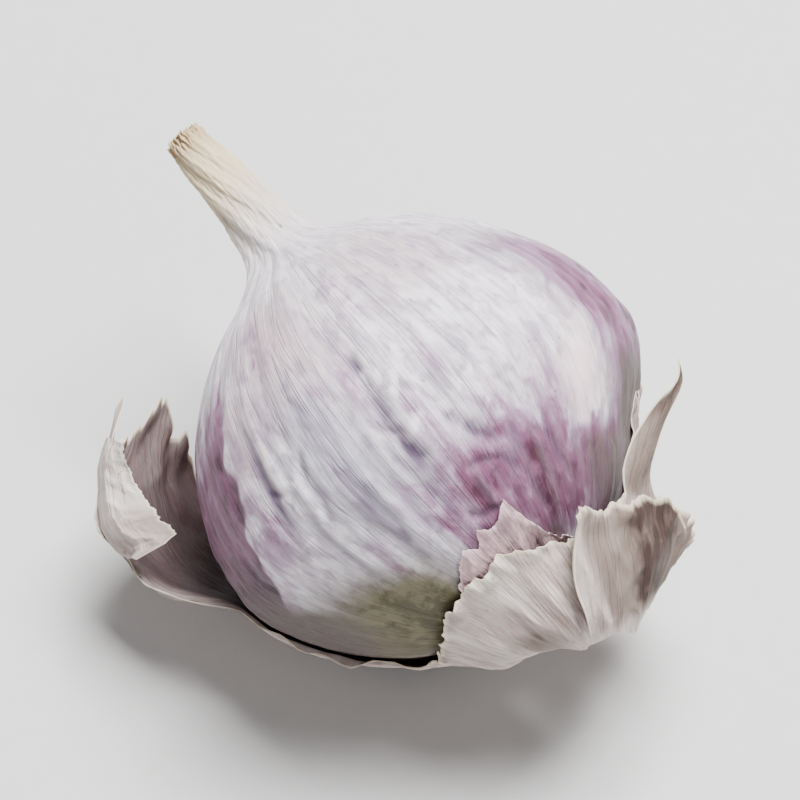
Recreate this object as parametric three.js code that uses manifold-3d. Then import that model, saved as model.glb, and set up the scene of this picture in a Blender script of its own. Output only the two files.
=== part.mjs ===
// Single-clove garlic bulb lying on its side, as picked and dried: the round bulb in its papery
// skin with the long dry neck, a torn outer husk that still cups the root end, and the root
// plate with its short dry roots.
//
// Millimetres, +Z up. The origin is the centre of the small flat spot that the bulb rests on.
// The bulb's axis lies in the XZ plane: the neck points to -X and rises, the root end faces +X.
//
// Two ways of naming a place on the bulb are used:
//   along, turn      - distance from the root end along the axis, and the angle round the axis
//   polar, turn      - angle at the bulb's heart, measured from the root direction
// A turn of 0 degrees is the top of the bulb, and 90 degrees is its +Y side.

import * as THREE from 'three';
import { mergeVertices } from 'three/addons/utils/BufferGeometryUtils.js';
import Module from 'manifold-3d';

const wasm = await Module();
wasm.setup();

// ---- Driving dimensions ---------------------------------------------------------------------

const NECK_RISE = 16;             // degrees that the axis climbs towards the neck
const HEART_ALONG = 9.7;          // the middle of the body, from the root end
const REST_PRESS = 0.42;          // how far the skin is pressed flat where it rests

// Outline of the bulb from the root end to the tip of the neck: [along the axis, radius].
const BULB_OUTLINE = [
  [0.0, 2.0],
  [1.9, 6.1],
  [4.5, 8.85],
  [7.2, 10.42],
  [9.2, 10.65],
  [11.8, 10.1],
  [14.9, 8.4],
  [17.4, 5.85],
  [19.0, 3.1],
  [20.3, 1.7],
  [22.4, 1.12],
  [24.8, 0.92],
  [27.0, 0.6],
];
const BULB_COLUMNS = 126;
const BULB_ROWS = 34;
const WIDEST_RADIUS = 10.65;
const RIB_HEIGHT = 0.13;          // long ribs of the skin, root to neck
const NECK_FOLDS = 7;             // the dry neck is pleated, and the pleats turn round it
const NECK_FOLD_DEPTH = 0.1;      // as a share of the neck's radius
const NECK_FOLD_TURN = 14;        // degrees of turn for each millimetre of neck
const NECK_SWAY = 0.42;           // the neck's foot sits a little to one side of the axis
const CHEEK_TURN = 68;            // one side of the bulb is flatter near the root
const CHEEK_DEPTH = 0.62;

// Husk: one torn leaf round the root end. Turns are degrees round the axis.
const HUSK_GAP = 0.42;            // between the crests of the bulb's ribs and the husk
const HUSK_THICKNESS = 0.62;
const HUSK_FOOT = 17;             // polar angle where the husk starts, round the root plate
const HUSK_ROWS = 9;
const LOBE_TURN = -108;           // the tall lobe that has peeled away from the bulb
const COLLAR_TURN = 85;           // the low collar that stands off on the other side
const SKIRT_TURN = 15;            // between them the husk hangs straight, past the root plate
const SKIRT_LOW_TURN = -10;       // where the skirt reaches lowest
const HEM_ARCH_TURN = 2;          // the middle of a shallow arch in the skirt's hem
const PUFF_TURN = -82;            // the end of the skirt that is puffed out in a small fold
const SLIVER_TURN = 35.5;         // a narrow strip stands up from the collar and leans over
const SLIVER_WIDTH = 9;
const SLIVER_SWING = 22;
const SLIVER_STAND = 0.25;        // how far its foot stands off, and its tip twice more

// Torn edge, once round the bulb: [turn, polar angle that the husk reaches there].
const TORN_EDGE = [
  [-180, 46], [-171, 41], [-162, 46], [-154, 43], [-149, 50], [-147, 62], [-146, 84],
  [-145, 106], [-144, 120], [-142, 126], [-138.4, 131], [-136, 129], [-134, 131],
  [-131.2, 138.5], [-129, 138.5], [-125.6, 136], [-122.8, 132], [-120, 129], [-117, 131],
  [-115, 138], [-114, 129], [-113.6, 112], [-113.2, 84], [-112.8, 60], [-112, 40],
  [-107, 34], [-84, 31], [-68, 33], [-60, 30], [-55, 38], [-42, 43], [-27, 43], [-13, 40],
  [-5, 37], [5, 35], [12, 36], [22, 37], [28.5, 40], [31, 53], [36, 67], [39.2, 52],
  [42, 39], [50, 36], [62, 33], [72, 34], [82, 31], [92, 33], [97, 35], [108, 34],
  [118, 40], [128, 35], [140, 44], [150, 40], [160, 45], [170, 40],
];

// Root plate and its dry roots, below the root end.
const PLATE_GAP = 0.32;
const PLATE_RADIUS = 2.1;
const PLATE_THICKNESS = 0.65;
const ROOT_COUNT = 20;
const ROOT_RADIUS = 0.27;
const ROOT_SIDES = 5;
const ROOT_STEPS = 4;

// ---- Frame ----------------------------------------------------------------------------------

const { degToRad, lerp, smoothstep } = THREE.MathUtils;
const rise = degToRad(NECK_RISE);
const towardsNeck = new THREE.Vector3(-Math.cos(rise), 0, Math.sin(rise));
const towardsTop = new THREE.Vector3(Math.sin(rise), 0, Math.cos(rise));
const towardsSide = new THREE.Vector3(0, 1, 0);

const outline = new THREE.SplineCurve(BULB_OUTLINE.map(([along, radius]) => {
  return new THREE.Vector2(along, radius);
}));

// The root end is placed so that the lowest place of the outline lies REST_PRESS under z = 0,
// and the stretch of the outline that lies under z = 0 has its middle at x = 0.
function placeRootEnd() {
  const forwards = (p) => -p.x * Math.cos(rise) - p.y * Math.sin(rise);
  const depth = (p) => p.y * Math.cos(rise) - p.x * Math.sin(rise);
  const samples = outline.getPoints(800);
  const height = Math.max(...samples.map(depth)) - REST_PRESS;
  const pressed = samples.filter((p) => depth(p) > height);
  const middle = (forwards(pressed[0]) + forwards(pressed.at(-1))) / 2;
  return new THREE.Vector3(-middle, 0, height);
}

const rootEnd = placeRootEnd();
const heart = rootEnd.clone().addScaledVector(towardsNeck, HEART_ALONG);

// Unit vector square to the axis, at a turn in degrees.
function outwards(turn) {
  const angle = degToRad(turn);
  return towardsTop.clone().multiplyScalar(Math.cos(angle))
    .addScaledVector(towardsSide, Math.sin(angle));
}

// Point at a distance along the axis and a radius, at a turn in degrees.
function roundAxis(along, radius, turn) {
  return rootEnd.clone()
    .addScaledVector(towardsNeck, along)
    .addScaledVector(outwards(turn), radius);
}

// Point at a distance from the heart, at a polar angle and a turn in degrees.
function roundHeart(distance, polar, turn) {
  const angle = degToRad(polar);
  return heart.clone()
    .addScaledVector(towardsNeck, -distance * Math.cos(angle))
    .addScaledVector(outwards(turn), distance * Math.sin(angle));
}

// Smooth bump of height 1 round a turn, which falls away over the given width in degrees.
function bump(turn, centre, width) {
  const away = ((turn - centre + 540) % 360) - 180;
  return Math.exp(-((away / width) ** 2));
}

// ---- Mesh building --------------------------------------------------------------------------

function meshFrom(name, points, faces, material) {
  const geometry = new THREE.BufferGeometry();
  geometry.setAttribute('position', new THREE.Float32BufferAttribute(points.flat(), 3));
  geometry.setIndex(faces.flat());
  geometry.computeVertexNormals();
  const mesh = new THREE.Mesh(geometry, material);
  mesh.name = name;
  return mesh;
}

// Two triangles over each cell of a grid that closes on itself sideways. The grid's first
// index climbs the rows, and 'at' gives the number of the vertex in a row and a column.
function wrapFaces(rows, columns, at, inwards = false) {
  const faces = [];
  for (let row = 0; row < rows; row += 1) {
    for (let column = 0; column < columns; column += 1) {
      const next = (column + 1) % columns;
      const corners = [at(row, column), at(row, next), at(row + 1, next), at(row + 1, column)];
      const [a, b, c, d] = corners;
      faces.push(...(inwards ? [[a, c, b], [a, d, c]] : [[a, b, c], [a, c, d]]));
    }
  }
  return faces;
}

// Closed body from rings of points, with a middle point that closes each end.
function closedRings(rings, startPoint, endPoint) {
  const columns = rings[0].length;
  const points = [...rings.flat(), startPoint, endPoint].map((p) => p.toArray());
  const faces = wrapFaces(rings.length - 1, columns, (row, column) => row * columns + column);
  const start = rings.length * columns;
  const lastRing = start - columns;
  for (let column = 0; column < columns; column += 1) {
    const next = (column + 1) % columns;
    faces.push([start, next, column]);
    faces.push([start + 1, lastRing + column, lastRing + next]);
  }
  return { points, faces };
}

// ---- Bulb -----------------------------------------------------------------------------------

// Height of the skin's long ribs: three wave trains, so that no two ribs are alike.
function ribs(turn) {
  const angle = degToRad(turn);
  const wide = 0.4 * Math.cos(11 * angle + 1.1);
  const main = 0.6 * Math.cos(21 * angle + 0.6);
  const fine = 0.35 * Math.cos(31 * angle + 2.1);
  return RIB_HEIGHT * (wide + main + fine);
}

// Point of the bulb's skin. The ribs fade out at the root end and on the thin neck, where the
// pleats take over, and the underside is pressed flat at the surface.
function skinPoint(along, radius, turn) {
  const angle = degToRad(turn);
  const roundness = 1 + 0.011 * Math.cos(2 * angle + 0.9) + 0.008 * Math.cos(3 * angle + 2.2);
  const onBody = smoothstep(along, 0.5, 4) * (radius / WIDEST_RADIUS);
  const onNeck = smoothstep(along, 17.5, 20.5);
  const pleatAngle = NECK_FOLDS * degToRad(turn + NECK_FOLD_TURN * along);
  const pleats = NECK_FOLD_DEPTH * radius * onNeck * Math.cos(pleatAngle);
  const cheek = CHEEK_DEPTH * Math.exp(-(((along - 3.7) / 2.1) ** 2))
    * bump(turn, CHEEK_TURN, 46);
  const point = roundAxis(along, radius * roundness + ribs(turn) * onBody + pleats - cheek, turn);
  const sway = NECK_SWAY * smoothstep(along, 14, 20) * (1 - 0.8 * smoothstep(along, 20, 27));
  point.addScaledVector(outwards(CHEEK_TURN), sway);
  point.z = Math.max(point.z, 0);
  return point;
}

function makeBulb() {
  const rings = [];
  for (let row = 0; row <= BULB_ROWS; row += 1) {
    const { x: along, y: radius } = outline.getPoint(row / BULB_ROWS);
    const ring = [];
    for (let column = 0; column < BULB_COLUMNS; column += 1) {
      ring.push(skinPoint(along, radius, (360 * column) / BULB_COLUMNS));
    }
    rings.push(ring);
  }
  const neckTip = roundAxis(BULB_OUTLINE.at(-1)[0] + 0.25, 0, 0);
  const { points, faces } = closedRings(rings, rootEnd, neckTip);
  const skin = new THREE.MeshStandardMaterial({ color: 0xd9d3da, roughness: 0.55, metalness: 0 });
  return meshFrom('bulb', points, faces, skin);
}

// ---- Husk -----------------------------------------------------------------------------------

// Distance of the bulb's skin from its heart, nearly a ball with a wide belly.
function bodyReach(polar) {
  const belly = polar < 79 ? 20 : 26;
  return 9.82 + 1.0 * Math.exp(-(((polar - 79) / belly) ** 2));
}

// Polar angle where the husk starts. It closes in where it hangs past the root plate, with a
// shallow arch in the middle of that hem.
function footPolar(turn) {
  const closedIn = 3 * bump(turn, SKIRT_TURN, 70) + 5 * bump(turn, SKIRT_LOW_TURN, 60);
  return HUSK_FOOT - closedIn + 3 * bump(turn, HEM_ARCH_TURN, 24);
}

// How far the husk stands off the bulb. The peeled lobe opens like a petal and curls back in at
// its tips, the skirt hangs straight from the belly past the root plate, the collar stands off
// above it, the sliver stands off more towards its tip, one end of the skirt is puffed out, and
// shallow buckles run over all of them.
function standOff(polar, turn) {
  const opening = smoothstep(polar, 80, 118) - 0.3 * smoothstep(polar, 118, 142);
  const lobe = (1.9 + 1.9 * bump(turn, LOBE_TURN, 18)) * bump(turn, LOBE_TURN, 48) * opening;
  const skirt = 2.2 * bump(turn, SKIRT_TURN, 72) * (1 - smoothstep(polar, 12, 46));
  const collar = 1.7 * bump(turn, COLLAR_TURN, 45) * smoothstep(polar, 12, 34);
  const climb = smoothstep(polar, 34, 46) + 2 * smoothstep(polar, 46, 67);
  const sliver = SLIVER_STAND * bump(turn, SLIVER_TURN, SLIVER_WIDTH) * climb;
  const fold = 0.55 * bump(turn, PUFF_TURN, 30) * Math.exp(-(((polar - 22) / 12) ** 2));
  const buckles = 0.1 + 0.1 * Math.cos(degToRad(9 * turn + 4 * polar));
  return lobe + skirt + collar + sliver + fold + buckles;
}

// The turn of a place on the husk, where the sliver leans over sideways.
function leaned(polar, turn) {
  return turn + SLIVER_SWING * bump(turn, SLIVER_TURN, SLIVER_WIDTH) * smoothstep(polar, 38, 68);
}

// Columns of the husk's grid: every point of the torn edge, and enough between them that
// neighbouring columns are close both round the bulb and in height.
function huskColumns() {
  const columns = [];
  TORN_EDGE.forEach(([turn, reach], index) => {
    const last = index === TORN_EDGE.length - 1;
    const [nextTurn, nextReach] = last ? [TORN_EDGE[0][0] + 360, TORN_EDGE[0][1]]
      : TORN_EDGE[index + 1];
    const steps = Math.ceil(Math.max((nextTurn - turn) / 5, Math.abs(nextReach - reach) / 14));
    for (let step = 0; step < steps; step += 1) {
      const share = step / steps;
      columns.push({ turn: lerp(turn, nextTurn, share), reach: lerp(reach, nextReach, share) });
    }
  });
  return columns;
}

function makeHusk() {
  const columns = huskColumns();
  const points = [];
  for (let row = 0; row <= HUSK_ROWS; row += 1) {
    columns.forEach(({ turn, reach }) => {
      const polar = lerp(footPolar(turn), reach, row / HUSK_ROWS);
      const inner = bodyReach(polar) + RIB_HEIGHT + HUSK_GAP + standOff(polar, turn);
      const side = leaned(polar, turn);
      points.push(roundHeart(inner, polar, side).toArray());
      points.push(roundHeart(inner + HUSK_THICKNESS, polar, side).toArray());
    });
  }
  const inner = (row, column) => 2 * (row * columns.length + column);
  const outer = (row, column) => inner(row, column) + 1;
  const foot = (row, column) => (row ? outer(0, column) : inner(0, column));
  const edge = (row, column) => (row ? inner(HUSK_ROWS, column) : outer(HUSK_ROWS, column));
  const faces = [
    ...wrapFaces(HUSK_ROWS, columns.length, outer),
    ...wrapFaces(HUSK_ROWS, columns.length, inner, true),
    ...wrapFaces(1, columns.length, foot),
    ...wrapFaces(1, columns.length, edge),
  ];
  const papery = new THREE.MeshStandardMaterial({ color: 0xc9bfb8, roughness: 0.7, metalness: 0 });
  return meshFrom('torn_husk', points, faces, papery);
}

// ---- Root plate -----------------------------------------------------------------------------

function solidFrom({ points, faces }) {
  const geometry = new THREE.BufferGeometry();
  geometry.setAttribute('position', new THREE.Float32BufferAttribute(points.flat(), 3));
  geometry.setIndex(faces.flat());
  const merged = mergeVertices(geometry, 1e-4);
  return new wasm.Manifold(new wasm.Mesh({
    numProp: 3,
    vertProperties: merged.attributes.position.array,
    triVerts: Uint32Array.from(merged.index.array),
  }));
}

// The plate is a low button with a rounded rim and a dished middle. Depths are below the root
// end, so the rings climb towards the neck.
function plateSolid() {
  const columns = 30;
  const top = -PLATE_GAP;
  const bottom = top - PLATE_THICKNESS;
  const section = [
    [bottom + 0.3, 0.55],
    [bottom, 1.15],
    [bottom + 0.12, 0.88 * PLATE_RADIUS],
    [bottom + 0.4, PLATE_RADIUS],
    [top, 0.95 * PLATE_RADIUS],
  ];
  const rings = section.map(([along, radius]) => {
    return Array.from({ length: columns }, (_, column) => {
      const turn = (360 * column) / columns;
      const lumps = 1 + 0.05 * Math.cos(degToRad(5 * turn + 40));
      return roundAxis(along, radius * lumps, turn);
    });
  });
  const dish = roundAxis(bottom + 0.42, 0, 0);
  return solidFrom(closedRings(rings, dish, roundAxis(top, 0, 0)));
}

// Deterministic spread of numbers between 0 and 1, so that the roots are uneven but repeatable.
function scatter(index, salt) {
  return Math.abs(Math.sin(index * 12.9898 + salt * 78.233) * 43758.5453) % 1;
}

// One dry root: a tapered tube whose middle line starts inside the plate, goes down and bends
// outwards, with a slight sideways curl.
function rootSolid(index) {
  const inRing = index % 2;
  const turn = (360 * index) / ROOT_COUNT + 10 * (scatter(index, 1) - 0.5);
  const foot = inRing ? 0.95 : 1.55;
  const length = 0.65 + 0.45 * scatter(index, 2);
  const spread = inRing ? 0.25 : 0.35 + 0.2 * scatter(index, 3);
  const curl = 26 * (scatter(index, 4) - 0.5);
  const start = -PLATE_GAP - 0.55 * PLATE_THICKNESS;
  const rings = [];
  for (let step = ROOT_STEPS; step >= 0; step -= 1) {
    const share = step / ROOT_STEPS;
    const along = start - length * share * (1 - 0.2 * share);
    const away = foot + spread * share ** 1.4;
    const middle = roundAxis(along, away, turn + curl * share ** 2);
    const thickness = ROOT_RADIUS * (1 - 0.45 * share);
    rings.push(Array.from({ length: ROOT_SIDES }, (_, side) => {
      return middle.clone().addScaledVector(outwards((360 * side) / ROOT_SIDES), thickness);
    }));
  }
  const middleOf = (ring) => ring.reduce((sum, p) => sum.add(p), new THREE.Vector3())
    .divideScalar(ring.length);
  return solidFrom(closedRings(rings, middleOf(rings[0]), middleOf(rings.at(-1))));
}

function makeRootPlate() {
  let solid = plateSolid();
  for (let index = 0; index < ROOT_COUNT; index += 1) {
    solid = solid.add(rootSolid(index));
  }
  const { numProp, vertProperties, triVerts } = solid.getMesh();
  const points = Array.from({ length: vertProperties.length / numProp }, (_, index) => {
    return Array.from(vertProperties.slice(index * numProp, index * numProp + 3));
  });
  const straw = new THREE.MeshStandardMaterial({ color: 0xb99a68, roughness: 0.85, metalness: 0 });
  return meshFrom('root_plate', points, [Array.from(triVerts)], straw);
}

// ---- The whole bulb -------------------------------------------------------------------------

const garlic = new THREE.Group();
garlic.add(makeBulb(), makeHusk(), makeRootPlate());

export default garlic;
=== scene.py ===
"""Looks of a single-clove garlic bulb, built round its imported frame.

The bulb lies on its side: its axis is in the XZ plane, the neck points to -X and rises, and the
root end faces +X. Shapes are worked out in millimetres and put into the meshes in metres.

Places on the bulb are named in two ways, as in the part's own source:
  along, turn   distance from the root end along the axis, and the angle round the axis
  polar, turn   angle at the bulb's heart from the root direction, and the angle round the axis
A turn of 0 degrees is the top of the bulb and 90 degrees is its +Y side.
"""

import math

import bpy
import numpy as np
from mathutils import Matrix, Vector


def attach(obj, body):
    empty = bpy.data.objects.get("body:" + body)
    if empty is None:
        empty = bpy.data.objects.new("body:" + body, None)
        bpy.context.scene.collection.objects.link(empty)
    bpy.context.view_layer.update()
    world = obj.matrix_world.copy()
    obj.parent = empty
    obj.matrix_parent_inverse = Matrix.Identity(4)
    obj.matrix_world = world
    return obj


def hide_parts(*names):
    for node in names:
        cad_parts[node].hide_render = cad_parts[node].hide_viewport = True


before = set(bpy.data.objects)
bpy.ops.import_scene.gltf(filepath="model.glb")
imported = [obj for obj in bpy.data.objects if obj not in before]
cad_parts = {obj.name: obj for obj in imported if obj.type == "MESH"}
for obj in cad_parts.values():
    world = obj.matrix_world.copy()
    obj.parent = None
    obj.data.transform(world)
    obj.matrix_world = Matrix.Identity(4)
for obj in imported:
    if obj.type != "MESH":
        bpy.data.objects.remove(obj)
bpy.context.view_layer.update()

# ---- Driving dimensions, in millimetres and degrees ----

MM = 0.001
NECK_RISE = math.radians(16)
NECK_END = 27.0
TIP_HOLLOW = 0.25                  # how far the middle of the neck's end lies below its rim
HEART_ALONG = 9.7
REST_PRESS = 0.42
WIDEST_RADIUS = 10.65

# Outline of the bulb from the root end to the tip of the neck: along the axis, radius.
BULB_OUTLINE = np.array([
    (0.0, 2.0), (1.9, 6.1), (4.5, 8.85), (7.2, 10.42), (9.2, 10.65), (11.8, 10.1), (14.9, 8.4),
    (17.4, 5.85), (19.0, 3.15), (20.3, 1.8), (22.4, 1.26), (24.8, 1.1), (NECK_END, 0.8),
])
OUTLINE_STEPS = 801
BODY_SHARE = 0.72                  # share of the outline's points up to the neck's foot
BODY_STEPS = 400
RIB_HEIGHT = 0.07
NECK_FOLDS = 7
NECK_FOLD_DEPTH = 0.07
NECK_FOLD_TURN = 14
NECK_SWAY = 0.55
CHEEK_TURN = 68
CHEEK_DEPTH = 0.62

SKIN_ROWS = 256
SKIN_COLUMNS = 372
VEIN_COUNT = 62
VEIN_HEIGHT = 0.05
FINE_VEIN_HEIGHT = 0.018
SLIT_DEPTH = 0.1
NOISE_WAVES = 9

BELLY_POLAR = 79
BALL_REACH = 9.82
HUSK_FOOT = 17
LOBE_TURN = -108
LOBE_EDGE_TURN = -113.6
COLLAR_TURN = 85
SKIRT_TURN = 15
SLIVER_TURN = 35.5
SLIVER_WIDTH = 9
SLIVER_SWING = 21
HUSK_GAP = 0.2
HUSK_FREE_GAP = 0.95
HUSK_THICKNESS = 0.11
HUSK_ROWS = 74
HUSK_COLUMNS = 600
RIM_REACH = 25
HUSK_FIBRE_STEP = 0.18             # along the fibre, for each degree of polar angle
FLAP_ROWS = 64
FLAP_COLUMNS = 260
FLAP_THICKNESS = 0.09
LOBE_FOLD_TURN = -114.2
LOBE_FOLD_THICKNESS = 0.35         # in degrees of turn
SCRAP_GAP = 0.08
SCRAP_THICKNESS = 0.05

# Torn edge of the husk, once round the bulb: turn, polar angle that the husk reaches there.
TORN_EDGE = np.array([
    (-180, 46), (-171, 41), (-162, 46), (-154, 43), (-150, 49), (-147.5, 54), (-146.5, 72),
    (-145.6, 96), (-144.8, 116), (-142.8, 124.5), (-141, 126), (-139.6, 127.5), (-138.4, 131.5),
    (-137, 129), (-134, 129.6), (-132.8, 131), (-131.8, 134.5), (-130.2, 138.8), (-128.8, 137.4),
    (-127.2, 139.4), (-126, 136), (-124.4, 136.4), (-123, 133), (-121.6, 132.6), (-120.4, 129.6),
    (-119, 130.8), (-117.6, 129.6), (-116.6, 132.6), (-115.7, 136.6), (-115, 139.4), (-114.4, 134),
    (-113.9, 129), (-113.6, 118), (-113.3, 104), (-113.1, 84), (-112.8, 62), (-112, 42),
    (-107, 34), (-96, 33), (-84, 34), (-74, 36), (-64, 38), (-55, 40), (-42, 43), (-34, 42),
    (-27, 43),
    (-20, 42), (-13, 40), (-9, 38), (-5, 37), (0, 35), (5, 35), (10, 36), (19, 36), (25, 37),
    (28.5, 39.5), (29.4, 45), (30.6, 52), (32.6, 58), (34.4, 60), (36, 65.5), (37.2, 61),
    (38.4, 54), (39.8, 49), (41.2, 44), (42.4, 38.5), (50, 35.5), (58, 34), (64, 33),
    (72, 34), (82, 31), (90, 32), (97, 35), (108, 34),
    (118, 40), (128, 35), (140, 44), (150, 40), (160, 45), (170, 40), (180, 46),
], float)

# A scrap of the skin below the husk, which still sticks to the bulb above the skirt's edge.
SCRAP_EDGE = np.array([
    (-48, 36), (-44, 43), (-38, 47), (-33, 51), (-29, 48), (-25, 52), (-20, 50), (-14, 55),
    (-11, 47), (-9, 43), (-6, 38.5), (-3, 36), (0, 34.5), (4, 33), (7, 31),
], float)

# Another scrap, which stands up the bulb's side behind the sliver.
SIDE_SCRAP_EDGE = np.array([
    (54, 34), (57, 48), (60, 62), (62, 56), (64, 67), (67, 58), (71, 44), (75, 36),
], float)

# A second layer of husk over the skirt, from its near edge round to the collar: turn, reach,
# and the polar angle of its hem at a few turns. Its near edge leans sideways towards the hem.
FLAP_EDGE = np.array([
    (-1.0, 40), (-0.5, 44), (3.5, 44), (8, 42), (13, 40.5), (17, 41), (22, 39), (28, 40),
    (34, 38), (40, 38.2), (45, 36), (50, 33), (56, 29),
], float)
FLAP_HEM = np.array([(-1, 19.6), (12, 16.2), (23.5, 12.9), (35, 13.8), (56, 15)])
FLAP_TURN = -1.0
FLAP_LEAN = 0.72
FLAP_UPRIGHT_POLAR = 42

# The lobe's near edge, folded in: polar, distance from the heart, width of the fold.
LOBE_FOLD = np.array([
    (106.2, 13.8, 0.4), (106.7, 13.95, 2.0), (107.4, 14.1, 2.6), (108.7, 14.3, 2.8),
    (110.8, 14.5, 2.68), (113.2, 14.65, 2.68), (117, 14.55, 2.2), (119.1, 14.45, 1.94),
    (123.8, 14.35, 1.55), (127.3, 14.1, 1.2), (129.4, 13.9, 1.0),
])

# ---- Frame of the bulb ----

TOWARDS_NECK = np.array([-math.cos(NECK_RISE), 0.0, math.sin(NECK_RISE)])
TOWARDS_TOP = np.array([math.sin(NECK_RISE), 0.0, math.cos(NECK_RISE)])
TOWARDS_SIDE = np.array([0.0, 1.0, 0.0])


def rise(value, low, high):
    """0 below low, 1 above high, and the cubic 3s^2 - 2s^3 of the share s between them."""
    share = np.clip((value - low) / (high - low), 0.0, 1.0)
    return share * share * (3.0 - 2.0 * share)


def fall(value, low, high):
    """1 below low and 0 above high: one minus the rise."""
    return 1 - rise(value, low, high)


def plateau(value, low, full, still, gone):
    """A rise from low to full, times a fall from still to gone."""
    return rise(value, low, full) * fall(value, still, gone)


def bell(value, centre, width):
    """exp(-d^2), where d is the distance from the centre over the width."""
    return np.exp(-(((value - centre) / width) ** 2))


def signed(turn):
    """The same turn between -180 and 180 degrees."""
    return (turn + 540.0) % 360.0 - 180.0


def bump(turn, centre, width):
    """A bell over the shortest way round from the centre, in degrees."""
    return bell(signed(turn - centre), 0, width)


def outline_at(share):
    """Along and radius at a share of the outline: a uniform Catmull-Rom curve through its points.

    Between two points p1 and p2 the curve is the cubic that leaves with half of p2 - p0 and
    arrives with half of p3 - p1.
    """
    last = len(BULB_OUTLINE) - 1
    place = np.clip(np.asarray(share, float), 0.0, 1.0) * last
    index = np.minimum(place.astype(int), last - 1)
    weight = (place - index)[..., None]
    before = BULB_OUTLINE[np.maximum(index - 1, 0)]
    start = BULB_OUTLINE[index]
    end = BULB_OUTLINE[index + 1]
    after = BULB_OUTLINE[np.minimum(index + 2, last)]
    leave = (end - before) / 2
    arrive = (after - start) / 2
    curve = (
        (2 * start - 2 * end + leave + arrive) * weight**3
        + (-3 * start + 3 * end - 2 * leave - arrive) * weight**2
        + leave * weight
        + start
    )
    return curve[..., 0], curve[..., 1]


def place_root_end():
    """Root end of the axis, so that the outline dips REST_PRESS under z = 0 round x = 0."""
    along, radius = outline_at(np.linspace(0, 1, OUTLINE_STEPS))
    forwards = -along * math.cos(NECK_RISE) - radius * math.sin(NECK_RISE)
    depth = radius * math.cos(NECK_RISE) - along * math.sin(NECK_RISE)
    height = depth.max() - REST_PRESS
    pressed = forwards[depth > height]
    return np.array([-(pressed[0] + pressed[-1]) / 2, 0.0, height])


ROOT_END = place_root_end()
HEART = ROOT_END + HEART_ALONG * TOWARDS_NECK


def outwards(turn):
    """Unit vector square to the axis at a turn in degrees."""
    angle = np.radians(turn)[..., None]
    return np.cos(angle) * TOWARDS_TOP + np.sin(angle) * TOWARDS_SIDE


def round_axis(along, radius, turn):
    """Root end, plus along towards the neck, plus radius outwards at the turn."""
    along, radius, turn = np.broadcast_arrays(along, radius, np.asarray(turn, float))
    return ROOT_END + along[..., None] * TOWARDS_NECK + radius[..., None] * outwards(turn)


def round_heart(distance, polar, turn):
    """Heart, plus the distance in the direction of the polar angle and the turn."""
    distance, polar, turn = np.broadcast_arrays(distance, polar, np.asarray(turn, float))
    angle = np.radians(polar)[..., None]
    direction = np.sin(angle) * outwards(turn) - np.cos(angle) * TOWARDS_NECK
    return HEART + distance[..., None] * direction


def fibre_place(arc, turn):
    """Where a point lies in the skin's own measure: round the axis on the widest radius, and the
    distance along the fibre, in millimetres. Patterns on it have no seam."""
    arc, turn = np.broadcast_arrays(arc, np.asarray(turn, float))
    angle = np.radians(turn)
    return np.stack([WIDEST_RADIUS * np.cos(angle), WIDEST_RADIUS * np.sin(angle), arc], -1)


def soft_noise(points, size, seed):
    """Smooth noise from -1 to 1: the sum of NOISE_WAVES sine waves in seeded directions, whose
    lengths lie round the given size, over what such a sum seldom passes."""
    draw = np.random.default_rng(seed)
    total = np.zeros(points.shape[:-1])
    for _ in range(NOISE_WAVES):
        direction = draw.normal(size=3)
        direction /= np.linalg.norm(direction)
        length = size * draw.uniform(0.65, 1.5)
        phase = draw.uniform(0, 2 * math.pi)
        total += np.sin(points @ direction * (2 * math.pi / length) + phase)
    return np.clip(total / (1.24 * NOISE_WAVES**0.5), -1, 1)


def summed(pattern, place, *rows):
    """Sum of a seeded pattern at several sizes: strength, size, seed."""
    return sum(strength * pattern(place, size, seed) for strength, size, seed in rows)


# ---- Mesh helpers ----


def grid_quads(rows, columns, first=0, closed=True, inwards=False):
    """Quads of a grid of rows by columns, facing outwards; a closed one joins up sideways."""
    row = np.arange(rows - 1)[:, None]
    column = np.arange(columns if closed else columns - 1)[None, :]
    following = (column + 1) % columns
    corners = [
        row * columns + column,
        row * columns + following,
        (row + 1) * columns + following,
        (row + 1) * columns + column,
    ]
    if inwards:
        corners.reverse()
    return first + np.stack(corners, -1).reshape(-1, 4)


def strip_quads(one, other):
    """Quads between two lists of vertex numbers of the same length."""
    return np.stack([one[:-1], one[1:], other[1:], other[:-1]], -1)


def fan(ring, middle, inwards=False):
    """Triangles between a closed ring of vertex numbers and a middle vertex."""
    following = np.roll(ring, -1)
    ends = (following, ring) if inwards else (ring, following)
    return np.stack([*ends, np.full(len(ring), middle)], -1)


def in_scene(name, data):
    """A new object in the scene, at the origin."""
    made = bpy.data.objects.new(name, data)
    bpy.context.scene.collection.objects.link(made)
    return made


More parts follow.
